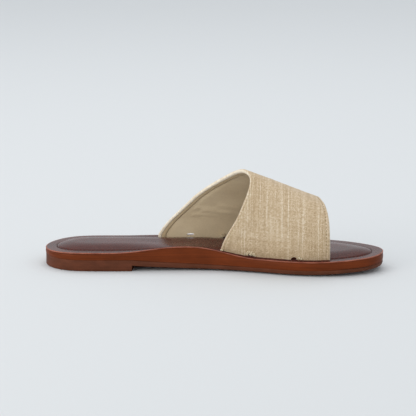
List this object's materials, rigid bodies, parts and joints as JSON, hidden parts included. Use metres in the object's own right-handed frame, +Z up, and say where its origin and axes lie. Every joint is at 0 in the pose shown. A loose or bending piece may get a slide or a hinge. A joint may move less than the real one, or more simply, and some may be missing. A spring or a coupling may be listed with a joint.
{
  "type": "slide sandal",
  "caption": "Left flat slide sandal with a wide cream woven strap, a padded brown leather insole, an orange-brown contoured midsole and a brown rubber outsole with a low heel.",
  "frame": {"origin": "centre of the sole's footprint box, on the floor that the sandal stands on", "axes": "+X towards the toe, +Y towards the outer side of the foot, +Z up"},
  "size_m": [0.255, 0.0838, 0.0738],
  "materials": {
    "outsole": "matt",
    "midsole": "polished",
    "insole": "semi-gloss",
    "strap": "woven, matt"
  },
  "bodies": {
    "root": {"outsole": "outsole", "midsole": "midsole", "insole": "insole", "strap": "strap"}
  },
  "joints": []
}
